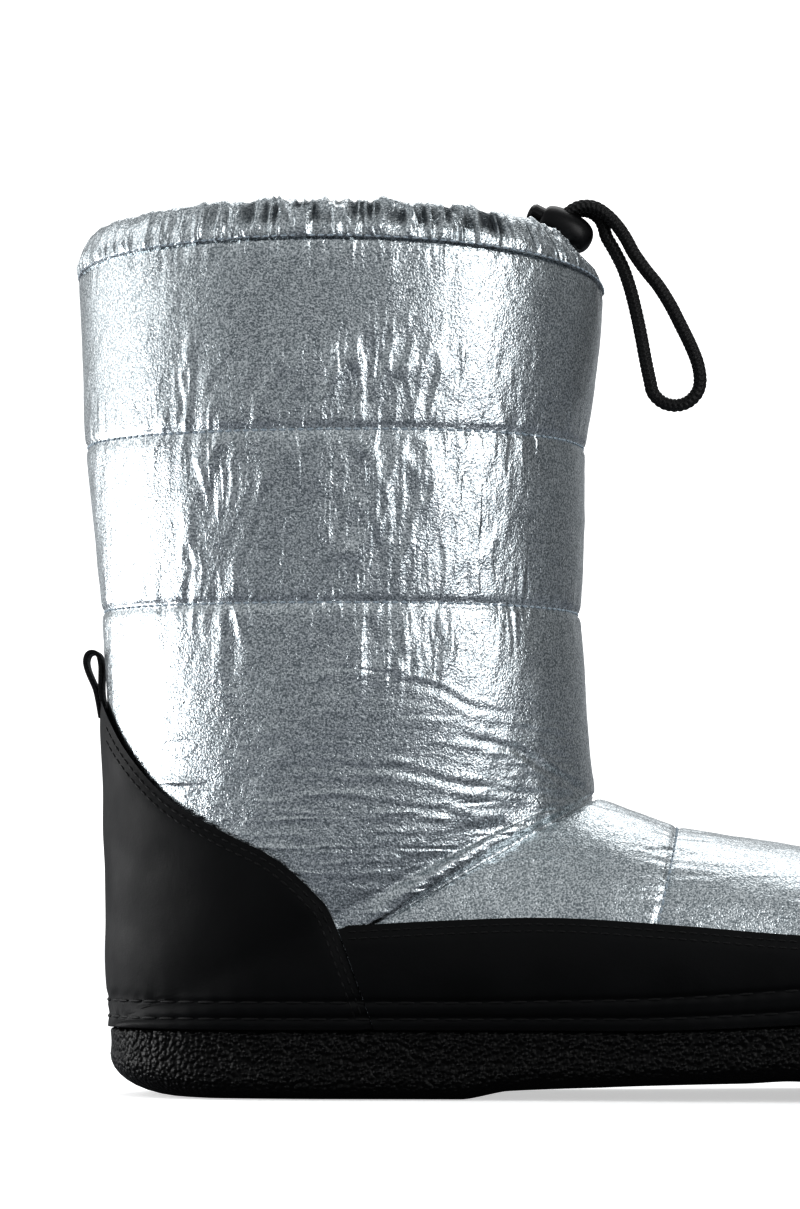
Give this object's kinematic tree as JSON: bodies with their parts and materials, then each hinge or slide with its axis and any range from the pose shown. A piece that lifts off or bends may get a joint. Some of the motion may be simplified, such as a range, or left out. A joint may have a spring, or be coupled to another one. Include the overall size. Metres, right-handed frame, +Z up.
{
  "type": "lined bootie",
  "caption": "Padded pull-on bootie with a quilted silver upper, black leather counter and mudguard, moulded rubber sole, and a drawcord collar with a cord lock and heel pull.",
  "frame": {"origin": "on the floor, under the middle of the boot's box without its drawcord", "axes": "+X towards the toe, +Y towards the wearer's left (the inner side of this right boot), +Z up"},
  "size_m": [0.2774, 0.1126, 0.2466],
  "materials": {
    "silver_foil_fabric": "metallic silver foil on padded fabric",
    "black_leather": "smooth satin",
    "black_rubber": "pebbled matt",
    "grey_felt": "felt",
    "black_webbing": "woven",
    "black_braid": "braided",
    "black_plastic": "satin"
  },
  "bodies": {
    "boot": {"upper": "silver_foil_fabric", "collar_casing": "silver_foil_fabric", "counter": "black_leather", "mudguard": "black_leather", "outsole": "black_rubber", "insole": "grey_felt", "pull_loop": "black_webbing", "drawcord": "black_braid", "lock_body": "black_plastic"},
    "plunger": {"lock_plunger": "black_plastic"}
  },
  "joints": [
    {"name": "lock_press", "type": "slide", "parent": "boot", "child": "plunger", "axis": [0.891, 0, -0.454], "range_m": [0, 0.0022], "stiffness_N_per_m": 900}
  ]
}
